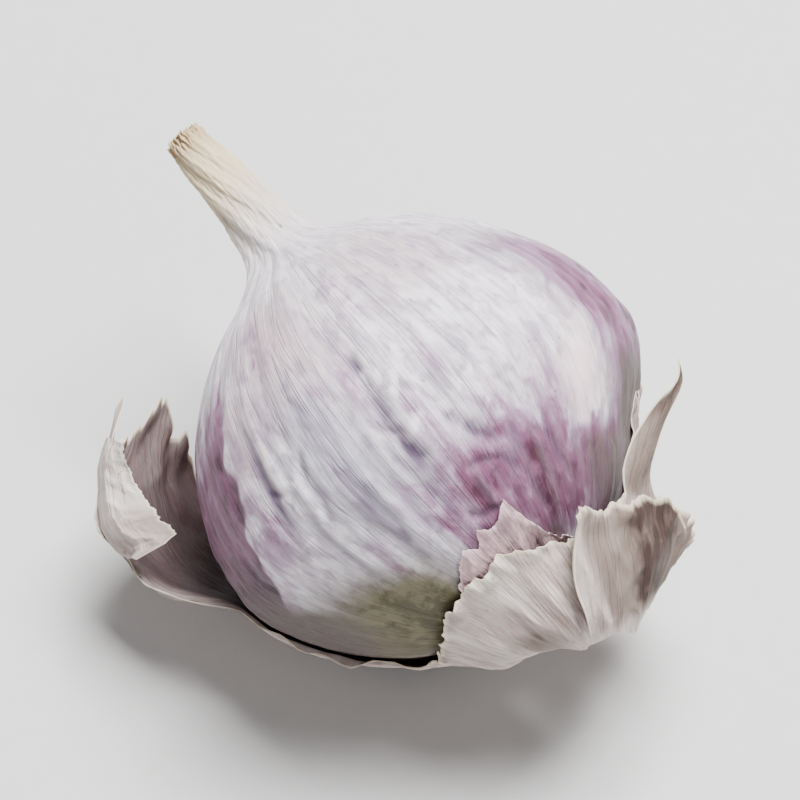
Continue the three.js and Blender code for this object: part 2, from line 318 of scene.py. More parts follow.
def add_piece(name, points, quads, triangles=None, attributes=None, crease=None):
    """A smooth-shaded mesh object at the origin, from points in millimetres."""
    triangles = np.zeros((0, 3), int) if triangles is None else triangles
    mesh = bpy.data.meshes.new(name)
    mesh.vertices.add(len(points))
    mesh.vertices.foreach_set("co", (points * MM).astype(np.float32).ravel())
    corners = np.concatenate([quads.ravel(), triangles.ravel()])
    sizes = np.concatenate([np.full(len(quads), 4), np.full(len(triangles), 3)])
    starts = np.concatenate([[0], np.cumsum(sizes)[:-1]])
    mesh.loops.add(len(corners))
    mesh.loops.foreach_set("vertex_index", corners.astype(np.int32))
    mesh.polygons.add(len(sizes))
    mesh.polygons.foreach_set("loop_start", starts.astype(np.int32))
    mesh.polygons.foreach_set("use_smooth", np.ones(len(sizes), bool))
    mesh.update(calc_edges=True)
    mesh.validate()
    for label, values in (attributes or {}).items():
        kind, field = ("FLOAT_VECTOR", "vector") if values.ndim == 2 else ("FLOAT", "value")
        layer = mesh.attributes.new(label, kind, "POINT")
        layer.data.foreach_set(field, values.astype(np.float32).ravel())
    if crease is not None:
        mesh.set_sharp_from_angle(angle=math.radians(crease))
    return in_scene(name, mesh)


def add_turned_piece(name, points, ends, attributes=None):
    """A piece from rings of points round the axis, closed by a fan to each of its two ends."""
    rows, columns = points.shape[:2]
    count = rows * columns
    ring = np.arange(columns)
    triangles = np.concatenate([
        fan(ring, count, inwards=True),
        fan(ring + count - columns, count + 1),
    ])
    vertices = np.concatenate([points.reshape(-1, 3), ends])
    return add_piece(name, vertices, grid_quads(rows, columns), triangles, attributes)


# ---- Bulb skin ----


def ribs(turn):
    """Three cosines of the turn, with 11, 21 and 31 waves round the bulb."""
    angle = np.radians(turn)
    wide = 0.4 * np.cos(11 * angle + 1.1)
    main = 0.6 * np.cos(21 * angle + 0.6)
    fine = 0.35 * np.cos(31 * angle + 2.1)
    return RIB_HEIGHT * (wide + main + fine)


def skin_radius(along, radius, turn):
    """The outline's radius made uneven: slightly oval, ribbed, pleated on the neck, and flatter
    on one cheek near the root."""
    angle = np.radians(turn)
    roundness = 1 + 0.011 * np.cos(2 * angle + 0.9) + 0.008 * np.cos(3 * angle + 2.2)
    on_body = rise(along, 0.5, 4) * (radius / WIDEST_RADIUS)
    on_neck = rise(along, 17.5, 20.5)
    pleat_angle = NECK_FOLDS * np.radians(turn + NECK_FOLD_TURN * along)
    pleats = NECK_FOLD_DEPTH * radius * on_neck * np.cos(pleat_angle)
    cheek = CHEEK_DEPTH * bell(along, 3.7, 2.1) * bump(turn, CHEEK_TURN, 46)
    return radius * roundness + ribs(turn) * on_body + pleats - cheek


def skin_reach(polar, turn):
    """Distance of the skin from the heart at a polar angle and a turn."""
    along, radius = outline_at(np.linspace(0, BODY_SHARE, BODY_STEPS))
    outline_polar = np.degrees(np.arctan2(radius, HEART_ALONG - along))
    along_here = np.interp(polar, outline_polar, along)
    radius_here = np.interp(polar, outline_polar, radius)
    return np.hypot(HEART_ALONG - along_here, skin_radius(along_here, radius_here, turn))


def wandering_turn(along, turn):
    """The turn, shifted a degree or two by slow waves, so that veins are unevenly spaced."""
    angle = np.radians(turn)
    shift = 1.7 * np.sin(7 * angle + 1.0) + 1.0 * np.sin(13 * angle + 2.2)
    drift = 0.8 * np.sin(0.33 * along + 3 * angle) + 0.35 * np.sin(1.1 * along + 9 * angle)
    return turn + shift + drift


def vein_ridges(along, turn, count, power):
    """Narrow ridges from 0 to 1: a power of a cosine of the wandering turn, with a strength that
    changes slowly from vein to vein and along each one."""
    angle = np.radians(wandering_turn(along, turn))
    ridge = (0.5 + 0.5 * np.cos(count * angle)) ** power
    strength = 0.6 + 0.4 * np.sin(5 * angle + 0.4 * along) * np.cos(8.5 * angle + 1.0)
    return ridge * strength


def streaks(along, turn, rows):
    """Sum of soft spindles, each from a row as in TINTS: flat-topped along the axis and a bell
    round it. The lean moves its centre by a number of degrees for each millimetre."""
    total = np.zeros(np.broadcast(along, turn).shape)
    for middle, at, half_length, half_width, strength, *lean in rows:
        line = signed(turn - at - sum(lean) * (along - middle))
        flat_topped = np.exp(-(((along - middle) / half_length) ** 4))
        total += strength * flat_topped * bell(line, 0, half_width)
    return total


# Line along which the white outer skin has come off one side: along, turn.
PEELED_LINE = np.array([
    (0, -112), (2, -106), (4, -99), (5.4, -91), (6.4, -85), (7.6, -79.5), (8.7, -73),
    (10.4, -69.5), (11.4, -66), (13.1, -66.5), (14.4, -63.5), (17, -60), (19, -57),
], float)
PEELED_STEP = 0.07

# Tints of the skin as spindles: middle along, turn, half length, half width, strength, and for
# some the lean.
TINTS = {
    # Purple left on the white skin.
    "purple": [
        (4.4, -5, 1.9, 12, 0.7), (4.4, -20, 1.8, 7, 0.7), (3.4, 9, 1.7, 14, 0.75),
        (2.5, 27, 1.6, 12, 0.8), (2.2, 42, 1.6, 10, 0.7), (3.4, 24, 1.0, 5, 0.35),
        (6.4, -10, 1.5, 7, 0.12), (5.8, 8, 1.4, 8, 0.1), (7.4, 14, 1.4, 6, 0.16),
        (7.0, -19, 1.7, 4, 0.25), (6.4, 17, 1.2, 5, 0.2), (5.4, -31, 1.6, 3, 0.35, 0.4),
        (3.8, -27, 1.3, 4, 0.5), (3.6, -13, 1.2, 4, 0.4), (4.6, 3, 0.9, 4, 0.4),
        (5.2, -12, 1.0, 4, 0.35), (2.9, 14, 1.5, 9, 0.2), (3.1, 39, 1.5, 8, 0.35),
        (6.6, 50, 2.6, 8, 0.85), (4.2, 57, 2.4, 8, 0.6), (9.4, 44, 2.6, 7, 0.6, 0.6),
        (11.0, 46, 2.6, 9, 0.6, 1.0), (12.4, 36, 1.2, 5, 0.2), (9.0, 56, 0.8, 4, 0.5),
        (8.9, -18, 1.6, 3, 0.3, 0.3), (10.0, -64, 3.6, 4.5, 0.3, 0.8), (1.8, -3, 1.4, 11, 0.6),
        (3.0, 42, 1.6, 7, 0.4), (14.0, -71, 1.3, 6, 0.4), (7.8, -92, 2.4, 8, 0.3),
        (15.5, -46, 2.0, 6, 0.3), (14.9, -14, 1.6, 5, 0.25), (8.0, 118, 5.0, 15, 0.8, 0.5),
        (6.5, 150, 4.5, 9, 0.6), (10.5, 92, 3.5, 7, 0.55, 0.6), (9.5, 178, 4.5, 13, 0.8),
        (3.5, 85, 2.4, 16, 0.6), (4.0, 190, 2.0, 22, 0.7),
    ],
    # Dark slits between veins, where the skin has shrunk; their darkness is partly painted shade.
    "slit": [
        (10.3, -57.4, 2.4, 1.7, 1.15, 0.8), (7.8, -24.6, 3.2, 2.0, 0.85, 0.4),
        (9.5, -24.2, 0.6, 2.4, 0.35, 0.4), (7.1, -24.4, 0.7, 2.6, 0.35, 0.4),
        (6.5, -10.8, 0.42, 2.6, 0.6, 1.0), (6.0, -27.6, 2.2, 1.1, 0.7, -0.5),
        (5.6, -41.7, 1.9, 1.7, 1.0, 0.3), (8.6, -47.0, 2.6, 1.3, 0.5, 0.4),
        (7.0, -53.5, 2.6, 1.2, 0.7, 0.6), (5.2, -33.0, 1.8, 1.4, 0.6, 0.5),
        (10.8, -36.0, 1.8, 1.2, 0.6, 0.2), (11.8, -22.5, 0.5, 1.7, 1.0),
        (13.3, -34.0, 0.45, 1.8, 0.6), (9.0, -11.0, 0.7, 1.5, 0.7),
        (9.4, -31.5, 1.6, 1.0, 0.4, 0.3), (8.3, 3.0, 1.5, 1.0, 0.5, 0.3),
        (5.2, -3.0, 0.7, 2.4, 0.8, 2.5), (4.4, 17.0, 0.9, 1.4, 0.7, 0.6),
        (7.4, 16.0, 1.2, 0.9, 0.5, 0.4), (10.4, 30.0, 2.2, 0.9, 0.4, 0.5),
    ],
    # Cool grey.
    "blue": [
        (9.6, -38, 3.4, 9, 1.3), (6.0, -62, 2.2, 12, 0.1), (5.4, -38, 1.8, 9, 0.5),
        (8.0, 160, 5.0, 30, 0.6), (14.8, 4, 1.8, 26, 0.35),
    ],
    # Pinkish beige.
    "warm": [
        (14.6, -42, 2.8, 16, 0.9), (12.5, -30, 2.4, 7, 0.7), (15.2, 6, 2.5, 22, 0.95),
        (13.0, 110, 3.0, 30, 0.7), (12.8, -60, 2.0, 8, 0.6), (15.8, -38, 1.6, 12, 0.5),
    ],
    # Painted shade: grey-brown where the bulb lies in shadow, low down and at the lower right.
    "shade": [
        (4.6, -92, 2.6, 11, 1.1), (3.2, -78, 2.4, 16, 1.0), (1.6, -62, 2.2, 30, 0.7),
        (6.2, -104, 4.6, 11, 0.9), (1.5, 46, 2.4, 44, 0.42), (1.5, 170, 3.0, 80, 0.7),
        (6.0, 178, 4.0, 40, 0.3), (3.8, 64, 2.6, 11, 1.35), (5.0, 52, 1.4, 7, 1.1),
        (6.2, -84, 1.6, 6, 0.3), (3.0, 41, 1.8, 8, 0.25), (1.5, -1, 0.55, 6, 0.9),
        (2.8, 31, 1.2, 8, 0.5), (3.1, 51, 1.9, 8, 0.3), (7.8, 47, 0.6, 4, 0.35),
    ],
    # Mauve under the white, and painted shade deepening the lower right edge.
    "flush_and_shade": [
        (8.4, -12, 3.2, 17, 0.11), (9.8, -61, 3.8, 5, 0.25, 0.9), (6.8, 52, 4.4, 14, 1.15),
        (10.9, 42, 2.6, 11, 0.9), (13.4, 34, 1.6, 12, 0.35), (9.0, 78, 4.0, 16, 0.3),
        (8.5, 140, 4.0, 22, 0.25), (8.2, -30, 3.0, 5, 0.1), (6.0, -8, 2.0, 20, 0.05),
        (5.2, 14, 1.8, 9, 0.1), (7.9, 46.5, 0.7, 4.5, 0.35), (10.4, 45, 1.0, 5, 0.15),
        (3.1, 53, 2.0, 9, 0.5), (8.6, 56, 3.4, 8, 0.4), (6.3, 17, 1.1, 6, 0.16),
        (9.4, -27, 1.6, 4, 0.12), (5.0, -26, 1.0, 5, 0.2), (7.3, 9.5, 1.5, 5.5, 0.22),
        (7.8, -38, 1.4, 7, 0.08),
    ],
    # Olive earth at the root end.
    "soil": [
        (3.4, -63, 1.6, 11, 1.0), (2.2, -66, 1.5, 18, 1.0), (2.6, -50, 1.5, 8, 0.8),
        (4.8, -72, 1.4, 12, 0.35), (1.6, -95, 1.5, 25, 0.6), (2.2, 150, 1.6, 60, 0.8),
    ],
    # Reddish brown.
    "rust": [
        (5.0, 8, 1.4, 8, 0.4), (4.6, -18, 1.2, 7, 0.2), (2.9, 32, 1.4, 8, 1.4),
        (5.0, 130, 2.0, 20, 0.8),
    ],
    # Painted highlight: the lightest spot, cream-pink.
    "cream": [
        (5.9, 24, 1.4, 8, 1.0), (7.6, 30, 1.5, 6, 0.4),
    ],
}
# Short bent folds where the skin has dried and puckered: half width, depth, then points as
# along, turn.
PUCKERS = [
    (0.24, 0.17, [(5.4, -16.2), (5.3, -12.0), (5.0, -8.2), (4.4, -6.5), (4.1, -7.2)]),
    (0.28, 0.2, [(7.4, -13.2), (6.9, -11.5), (6.3, -10.2), (5.8, -8.2)]),
    (0.20, 0.13, [(5.2, 4.0), (4.8, 7.0), (4.3, 8.8), (3.6, 8.4)]),
    (0.24, 0.18, [(4.0, -23.5), (3.7, -21.0), (3.6, -17.0)]),
    (0.22, 0.15, [(4.0, -3.8), (3.3, -3.2), (2.6, -2.0)]),
    (0.26, 0.13, [(8.4, -39.5), (6.8, -38.8), (5.4, -39.0), (4.8, -40.5)]),
    (0.24, 0.12, [(8.8, -27.0), (8.2, -24.2), (7.6, -25.5), (6.9, -23.2)]),
    (0.20, 0.11, [(9.8, -18.0), (9.1, -14.5), (8.3, -14.0)]),
    (0.20, 0.10, [(7.6, 1.5), (6.9, 4.2), (6.2, 4.0)]),
    (0.22, 0.10, [(11.6, -33.0), (10.9, -29.8), (10.0, -30.2)]),
    (0.24, 0.12, [(10.2, -46.0), (9.2, -48.5), (8.3, -47.6), (7.4, -50.0)]),
    (0.22, 0.11, [(12.3, -50.0), (11.5, -46.8), (10.8, -47.5)]),
]


def pucker(arc, radius, turn, line, half_width):
    """A bell across the distance to a bent line, in millimetres over the skin. The line's points
    are arc and turn, and a turn counts as its length at the local radius."""
    nearest = np.full(np.broadcast(arc, turn).shape, np.inf)
    for start, end in zip(line[:-1], line[1:]):
        across = radius * np.radians(turn - start[1])
        up = arc - start[0]
        span_across = radius * np.radians(end[1] - start[1])
        span_up = end[0] - start[0]
        share = (across * span_across + up * span_up) / (span_across**2 + span_up**2 + 1e-9)
        share = np.clip(share, 0, 1)
        away = np.hypot(across - share * span_across, up - share * span_up)
        nearest = np.minimum(nearest, away)
    return bell(nearest, 0, half_width)


def seeded_puckers(seed, count):
    """Short bent folds at seeded places all round, each of four points that wander sideways."""
    draw = np.random.default_rng(seed)
    rows = []
    for _ in range(count):
        along = draw.uniform(4.5, 13.5)
        turn = draw.uniform(-180, 180)
        ups = np.linspace(0, draw.uniform(0.8, 2.2), 4)
        aside = np.cumsum(draw.uniform(-3.0, 3.0, 4))
        line = [(along - up, turn + shift) for up, shift in zip(ups, aside)]
        rows.append((draw.uniform(0.16, 0.26), draw.uniform(0.03, 0.09), line))
    return rows


def all_puckers(arc, arc_at, radius, turn):
    """Depth of the folds in millimetres, and a mask from 0 to 1 of the deepest of them."""
    turn = signed(turn)
    depth = np.zeros(np.broadcast(arc, turn).shape)
    for half_width, deepest, line in PUCKERS + seeded_puckers(17, 46):
        on_arc = [(arc_at(along), at) for along, at in line]
        groove = pucker(arc, radius, turn, on_arc, half_width)
        shoulders = pucker(arc, radius, turn, on_arc, 2.3 * half_width)
        depth = depth + deepest * (groove - 0.45 * shoulders)
    return depth, np.clip(depth / 0.1, 0, 1)


def seeded_streaks(seed, count, reach, length, width, strength):
    """Spindles at seeded places all round, with sizes and strengths drawn between two ends."""
    draw = np.random.default_rng(seed)
    middle = draw.uniform(*reach, count)
    at = draw.uniform(-180, 180, count)
    half_length = draw.uniform(*length, count)
    half_width = draw.uniform(*width, count)
    amount = draw.uniform(*strength, count)
    return list(zip(middle, at, half_length, half_width, amount))


def peeled_share(along, turn):
    """1 where the white outer skin is missing, with a sharp wavering edge on one side."""
    line = np.interp(along, PEELED_LINE[:, 0], PEELED_LINE[:, 1])
    waver = 1.1 * np.sin(1.9 * along) + 0.7 * np.sin(4.3 * along + 1.0)
    turn = signed(turn)
    past = fall(turn - line - waver, -1.6, 1.0)
    before_back = rise(turn, -166, -158 + 2 * np.sin(2.3 * along))
    return past * before_back * fall(along, 15.6, 17.4)


def beside_peeled(along, turn):
    """A soft purple margin on the white skin next to the peeled side, widest at the belly."""
    line = np.interp(along, PEELED_LINE[:, 0], PEELED_LINE[:, 1])
    width = 2.5 + 7 * bell(along, 7.2, 2.6)
    return bell(signed(turn), line, width) * fall(along, 10, 14)


def skin_masks(along, turn, veins):
    """Where the skin's tints lie, each from 0 to about 1."""
    seeded = {
        "purple": seeded_streaks(11, 150, (3.5, 12.5), (0.35, 1.7), (0.8, 2.6), (0.08, 0.34)),
        "slit": seeded_streaks(13, 130, (2.5, 13.5), (0.5, 2.0), (0.35, 0.9), (0.15, 0.5)),
    }
    masks = {"vein": veins}
    for tint, rows in TINTS.items():
        masks[tint] = streaks(along, turn, rows + seeded.get(tint, []))
    peeled = peeled_share(along, turn)
    fade = 1.15 - 0.6 * rise(along, 12.8, 14.0) - 0.4 * rise(along, 15.2, 16.6)
    fade = fade + 0.55 * fall(along, 5.5, 9.5)
    # Purple is taken off the painted highlight spot.
    patches = masks["purple"] * (1 - 0.85 * masks["cream"])
    masks["purple"] = peeled * fade + 0.3 * beside_peeled(along, turn) + patches
    masks["flush_and_shade"] = masks["flush_and_shade"] * (1 - peeled)
    masks["soil"] = masks["soil"] + 0.9 * fall(along, 0.5, 1.6)
    masks["neck"] = along / NECK_END
    return masks


def skin_relief(way, along, turn, slender, veins, slit, folds):
    """How far the surface is pushed out, in millimetres. On the body: veins, dents, a pebbled
    grain, folds, slits and the peeled skin's step. Towards the neck: gathers, crinkles, thin
    lines and a ragged end."""
    stretched = way * (1.0, 1.0, 0.3)
    dents = summed(soft_noise, stretched, (0.07, 3.2, 3), (0.045, 1.3, 4))
    pebbles = soft_noise(way * (1.0, 1.0, 0.7), 0.85, 7) * 0.032
    fine_veins = vein_ridges(along + 5, turn + 2, 2 * VEIN_COUNT + 7, 2)
    body = VEIN_HEIGHT * veins + FINE_VEIN_HEIGHT * fine_veins + dents - folds
    body = body + pebbles * plateau(along, 2, 4, 10, 13)
    body = body - SLIT_DEPTH * np.minimum(slit, 1.2) - PEELED_STEP * peeled_share(along, turn)
    body = body * rise(along, 0.3, 2.0) * slender**0.8

    gather_angle = np.radians(wandering_turn(along * 1.6, turn))
    gathers = np.cos(26 * gather_angle) + 0.6 * np.cos(41 * gather_angle + 1.0)
    gathers = gathers * 0.03 * bell(along, 17.6, 2.2)
    crinkles = soft_noise(way * (0.35, 0.35, 1.0), 0.55, 5) * 0.02
    lines = 0.018 * np.cos(23 * np.radians(turn + NECK_FOLD_TURN * along))
    ragged = 0.12 * soft_noise(way * (0.5, 0.5, 1.0), 0.5, 6)
    neck = crinkles * rise(along, 18.5, 21.0) + lines * rise(along, 18, 20.5)
    return body + gathers + neck + ragged * rise(along, 25.8, NECK_END)


def make_bulb():
    """The skin as a grid of rows along the outline and columns round the axis. The radius comes
    from skin_radius, the neck is swayed to one side, skin_relief is pushed out along the surface
    normal, and below z = 0 all is pressed flat."""
    share = np.linspace(0, 1, SKIN_ROWS)[:, None]
    turn = np.linspace(0, 360, SKIN_COLUMNS, endpoint=False)[None, :]
    along, radius = outline_at(share)
    points = round_axis(along, skin_radius(along, radius, turn), turn)
    sway = NECK_SWAY * rise(along, 14, 21) * (1 - 0.35 * rise(along, 22, NECK_END))
    points = points + sway[..., None] * outwards(CHEEK_TURN)

    down_row = np.gradient(points, axis=0)
    round_row = (np.roll(points, -1, axis=1) - np.roll(points, 1, axis=1)) / 2
    normal = np.cross(round_row, down_row)
    normal /= np.linalg.norm(normal, axis=-1, keepdims=True)

    steps = np.hypot(np.diff(along[:, 0]), np.diff(radius[:, 0]))
    arc = np.concatenate([[0], np.cumsum(steps)])
    way = fibre_place(arc[:, None], turn)
    along = np.broadcast_to(along, way.shape[:2])
    turn = np.broadcast_to(turn, way.shape[:2])
    veins = vein_ridges(along, turn, VEIN_COUNT, 3)
    masks = skin_masks(along, turn, veins)
    folds, fold_mask = all_puckers(
        arc[:, None], lambda at: np.interp(at, along[:, 0], arc), radius, turn)
    # The puckers' folds join the slits: deeper relief, and a darker colour that is painted shade in
    # the creases.
    masks["slit"] = masks["slit"] + 0.55 * fold_mask
    slender = radius / WIDEST_RADIUS
    relief = skin_relief(way, along, turn, slender, veins, masks["slit"], folds)
    points = points + relief[..., None] * normal
    points[..., 2] = np.maximum(points[..., 2], 0.0)

    attributes = {
        "fibre_place": np.concatenate([way.reshape(-1, 3), [[0, 0, 0], [0, 0, arc[-1]]]]),
    }
    for label, values in masks.items():
        attributes[label] = np.concatenate([values.ravel(), values[0, :1], values[-1, :1]])
    ends = round_axis([0.0, NECK_END - TIP_HOLLOW], 0.0, 0.0)
    return add_turned_piece("bulb_skin", points, ends, attributes)


# ---- Husk ----


def body_reach(polar):
    """A ball's radius plus a bell at the belly, the smooth form that the husk once fitted."""
    width = np.where(polar < BELLY_POLAR, 20.0, 26.0)
    return BALL_REACH + bell(polar, BELLY_POLAR, width)


def foot_polar(turn):
    """Polar angle where the husk starts: HUSK_FOOT less two bells, which close it in below the
    skirt, plus a bell that arches the middle of the hem."""
    closed_in = 3 * bump(turn, SKIRT_TURN, 70) + 5 * bump(turn, -10, 60)
    return HUSK_FOOT - closed_in + 3 * bump(turn, 2, 24)


def stand_off(polar, turn):
    """How far the husk stands off the bulb: the peeled lobe opens and curls back in at its tips,
    the skirt hangs straight from the belly, the collar stands off above it, the sliver stands off
    more towards its tip, the skirt's left end is puffed out in a small fold, and the spike on the
    lobe's near edge leans outwards."""
    opening = rise(polar, 80, 118) - 0.3 * rise(polar, 118, 142)
    lobe = (1.9 + 1.9 * bump(turn, LOBE_TURN, 18)) * bump(turn, LOBE_TURN, 48) * opening
    skirt = 2.2 * bump(turn, SKIRT_TURN, 72) * fall(polar, 12, 46)
    collar = 1.7 * bump(turn, COLLAR_TURN, 45) * rise(polar, 12, 34)
    climb = 0.4 * rise(polar, 36, 47) + 0.3 * rise(polar, 46, 67)
    sliver = climb * bump(turn, SLIVER_TURN, SLIVER_WIDTH)
    fold = 0.55 * bump(turn, -82, 30) * bell(polar, 22, 12)
    spike = 0.3 + 0.13 * np.maximum(LOBE_EDGE_TURN - turn, 0)
    spike = spike * plateau(turn, -118.6, -117, LOBE_EDGE_TURN, -112.8)
    return lobe + skirt + collar + sliver + fold + spike * rise(polar, 126, 130)


def flap_edge_turn(polar):
    """The turn of the flap's near edge, which leans sideways below FLAP_UPRIGHT_POLAR."""
    return FLAP_TURN - FLAP_LEAN * np.maximum(FLAP_UPRIGHT_POLAR - polar, 0)


def leaned(polar, turn):
    """The turn, with the sliver leaning over sideways."""
    return turn + SLIVER_SWING * bump(turn, SLIVER_TURN, SLIVER_WIDTH) * rise(polar, 38, 68)


def fibre_steps(turn, width, seed):
    """Uneven teeth from -1 to 1: each bundle of fibres, a few degrees wide, tears at its own
    height, with a short ramp to the next one."""
    draw = np.random.default_rng(seed)
    count = int(360 / width)
    heights = draw.uniform(-1, 1, count) * draw.uniform(0.2, 1, count)
    place = (turn / width) % count
    index = place.astype(int)
    ramp = rise(place - index, 0.6, 1.0)
    return heights[index] * (1 - ramp) + heights[(index + 1) % count] * ramp


def along_edge(edge, count, closed):
    """Columns spaced evenly along a torn edge, so that a steep tear gets enough of them."""
    steps = np.diff(edge, axis=0)
    lengths = np.hypot(steps[:, 0] / 0.6, steps[:, 1] / 2.4)
    travelled = np.concatenate([[0], np.cumsum(lengths)])
    place = np.linspace(0, travelled[-1], count, endpoint=not closed)
    turn = np.interp(place, travelled, edge[:, 0])
    reach = np.interp(place, travelled, edge[:, 1])
    return turn[None, :], reach[None, :]


def crumple(way, size, seed):
    """Creased noise from about -1 to 1: one minus 2.2 times the size of a soft noise, which makes
    sharp ridges where the noise passes zero."""
    return 1 - 2.2 * np.abs(soft_noise(way, size, seed))


def sheet_body(inner, outer, closed):
    """Vertices and quads of a thin closed body between an inner and an outer grid, with its
    foot, its torn edge and, where it doesn't go all round, its two sides closed."""
    rows, columns = inner.shape[:2]
    count = rows * columns
    vertices = np.concatenate([inner.reshape(-1, 3), outer.reshape(-1, 3)])
    numbers = np.arange(count).reshape(rows, columns)
    if closed:
        numbers = np.concatenate([numbers, numbers[:, :1]], axis=1)
    faces = [
        grid_quads(rows, columns, count, closed),
        grid_quads(rows, columns, 0, closed, inwards=True),
        strip_quads(numbers[0], numbers[0] + count),
        strip_quads(numbers[-1] + count, numbers[-1]),
    ]
    if not closed:
        faces.append(strip_quads(numbers[:, 0] + count, numbers[:, 0]))
        faces.append(strip_quads(numbers[:, -1], numbers[:, -1] + count))
    return vertices, np.concatenate(faces)


def sheet_piece(name, faces, way, edge_share, pale, brown, inside, closed=False):
    """A sheet from its inner and outer face, with the numbers its material reads. They are alike
    on both faces but for the inside, which is 0 on the outer face."""
    inner, outer = faces
    vertices, quads = sheet_body(inner, outer, closed)
    shape = inner.shape[:2]

    def spread(values):
        return np.broadcast_to(values, shape).ravel()

    attributes = {
        "fibre_place": np.tile(np.broadcast_to(way, (*shape, 3)).reshape(-1, 3), (2, 1)),
        "edge_share": np.tile(spread(edge_share), 2),
        "pale": np.tile(spread(pale), 2),
        "brown": np.tile(spread(brown), 2),
        "inside": np.concatenate([spread(inside), spread(0.0)]),
    }
    return add_piece(name, vertices, quads, attributes=attributes, crease=50)


def both_faces(reach, thickness, polar, turn):
    """The inner and the outer face of a sheet with a thickness."""
    return round_heart(reach, polar, turn), round_heart(reach + thickness, polar, turn)


def husk_tints(polar, turn):
    """Where the husk is pale, where it is brown, and how far its inner face takes the dark inner
    colour. The pale share is partly painted highlight, and the dark inside is partly painted shade.
    """
    brown = 0.5 * bump(turn, 62, 22) * plateau(polar, 14, 24, 36, 50)
    tall = 0.64 * rise(polar, 36, 43) + 0.3 * rise(polar, 48, 62)
    brown = brown + tall * bump(turn, SLIVER_TURN, 7)
    brown = brown + 0.45 * bump(turn, -44, 15) * fall(polar, 20, 28)
    # Partly the paler hem and edges, partly painted highlight on the hem's ridge and lit edges.
    pale = bump(turn, -66, 14) + 0.9 * fall(polar, 13, 19)
    pale = pale * bump(turn, -10, 80) * (1 - 0.9 * bump(turn, -42, 18))
    pale = pale + 0.7 * bump(turn, -35, 14) * rise(polar, 27, 33)
    pale = pale + 0.5 * bump(turn, -115, 6) * rise(polar, 100, 125)
    # Painted light: less dark inner colour on the lobe's near edge and the tongue, which catch
    # light.
    near_edge = plateau(turn, -120, -115, -112, -110) * rise(polar, 38, 55)
    tongue = rise(polar - 120.5 - 0.035 * (turn + 123) ** 2, -0.9, 0.9)
    tongue = tongue * plateau(turn, -140.5, -137.5, -112, -110)
    inside = 1 - np.minimum(0.6 * near_edge + 0.17 * tongue, 0.75)
    return pale, brown, inside


def make_husk():
    """A cup-shaped sheet in polar form round the heart. Each column runs from the foot to the
    torn edge; its distance is the skin's own reach, plus the gap, the stand-off and creases."""
    turn, reach = along_edge(TORN_EDGE, HUSK_COLUMNS, closed=True)
    gentle = np.abs(np.gradient(reach[0])) < 1.0
    jag = summed(fibre_steps, turn, (1.1, 5.9, 21), (0.45, 1.9, 22), (0.25, 0.7, 23))
    reach = reach + np.where(gentle, jag, 0)
    share = np.linspace(0, 1, HUSK_ROWS)[:, None]
    foot = foot_polar(turn)
    polar = foot + (reach - foot) * share
    side = leaned(polar, turn)

    lift = stand_off(polar, turn)
    free = rise(lift, 0.15, 1.6)
    hug = np.minimum(skin_reach(polar, side), body_reach(polar) + 0.4) + HUSK_GAP
    surface = hug * (1 - free) + np.maximum(body_reach(polar) + HUSK_FREE_GAP, hug) * free
    surface = surface - 0.2 * bump(turn, LOBE_EDGE_TURN, 3) * rise(polar, 98, 108)
    way = fibre_place(polar * HUSK_FIBRE_STEP, turn)
    creased = way * (1.0, 1.0, 0.6)
    creases = summed(crumple, creased, (0.17, 4.6, 31), (0.09, 2.1, 32), (0.035, 0.9, 36))
    waves = 0.16 * np.sin(9 * np.radians(turn) + 2.5 * soft_noise(way, 5.0, 33))
    edge_share = rise(share, 0.8, 1.0)
    curl = edge_share * (0.24 * soft_noise(way, 1.6, 34) + 0.12)
    covered = rise(turn - flap_edge_turn(polar), -1, 5) * fall(turn, 46, 56)
    calm = (0.3 + 0.7 * rise(polar, 13, 24)) * (1 - 0.85 * covered)
    wrinkled = (creases + waves - 0.1) * (0.2 + 0.8 * free) * calm - 0.12 * covered
    inner_reach = surface + lift + np.maximum(wrinkled + curl, -0.12 - 0.25 * free)
    faces = both_faces(inner_reach, HUSK_THICKNESS * (1 - 0.45 * edge_share), polar, side)
    near_rim = 1 - np.minimum((reach - polar) / RIM_REACH, 1)
    tints = husk_tints(polar, turn)
    return sheet_piece("torn_husk_leaf", faces, way, near_rim, *tints, closed=True)


